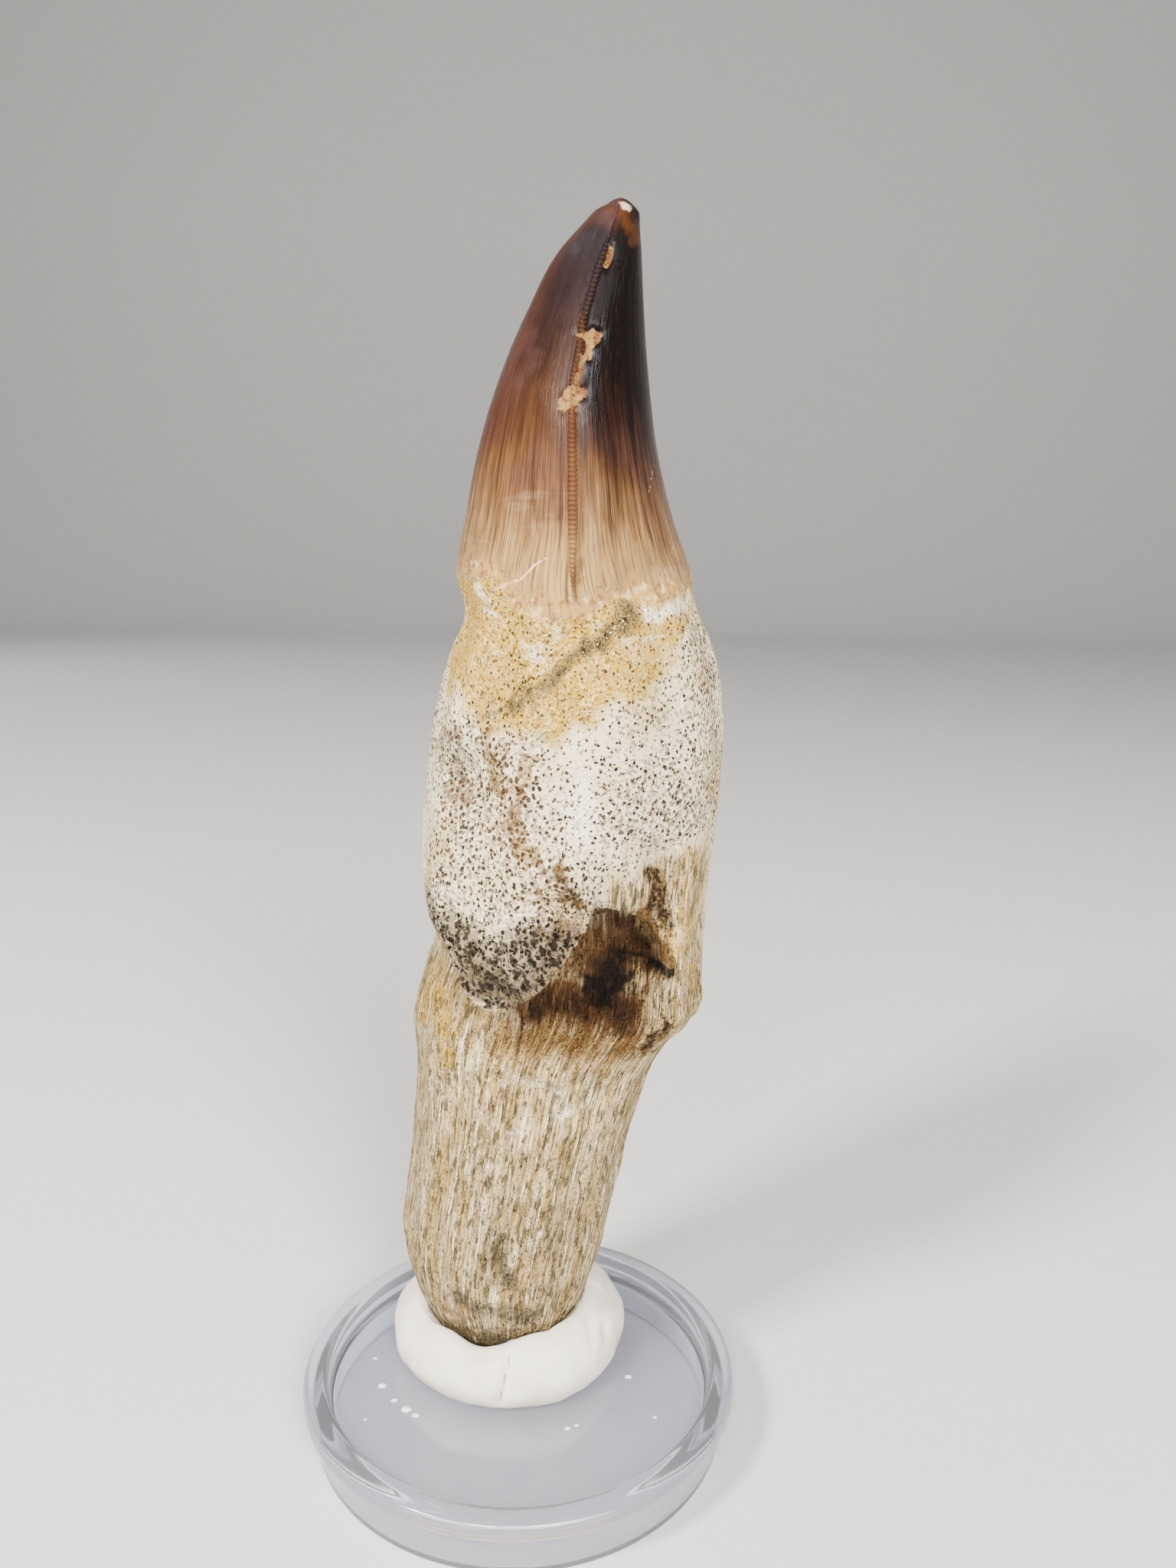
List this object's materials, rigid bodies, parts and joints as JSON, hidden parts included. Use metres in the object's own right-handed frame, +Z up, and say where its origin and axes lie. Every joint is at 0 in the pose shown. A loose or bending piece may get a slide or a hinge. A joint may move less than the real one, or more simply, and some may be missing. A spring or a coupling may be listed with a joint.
{
  "type": "fossil tooth on stand",
  "caption": "Rooted conical fossil reptile tooth with a curved keeled crown and a pitted, hollowed root, upright in a white putty collar on a clear round plastic cap",
  "frame": {"origin": "centre of the clear cap's foot ring, on the surface it stands on", "axes": "+Z is up, along the tooth from root to tip; -Y is the side with the resorption pit; the tip leans towards +X"},
  "size_m": [0.04, 0.04, 0.1076],
  "materials": {
    "fossil": "glossy brown enamel crown over a matt, porous cream and ochre root",
    "putty": "matt white hand-pressed putty",
    "clear_cap": "clear moulded plastic, smooth"
  },
  "bodies": {
    "root": {"tooth": "fossil", "putty_collar": "putty", "stand_cap": "clear_cap"}
  },
  "joints": []
}
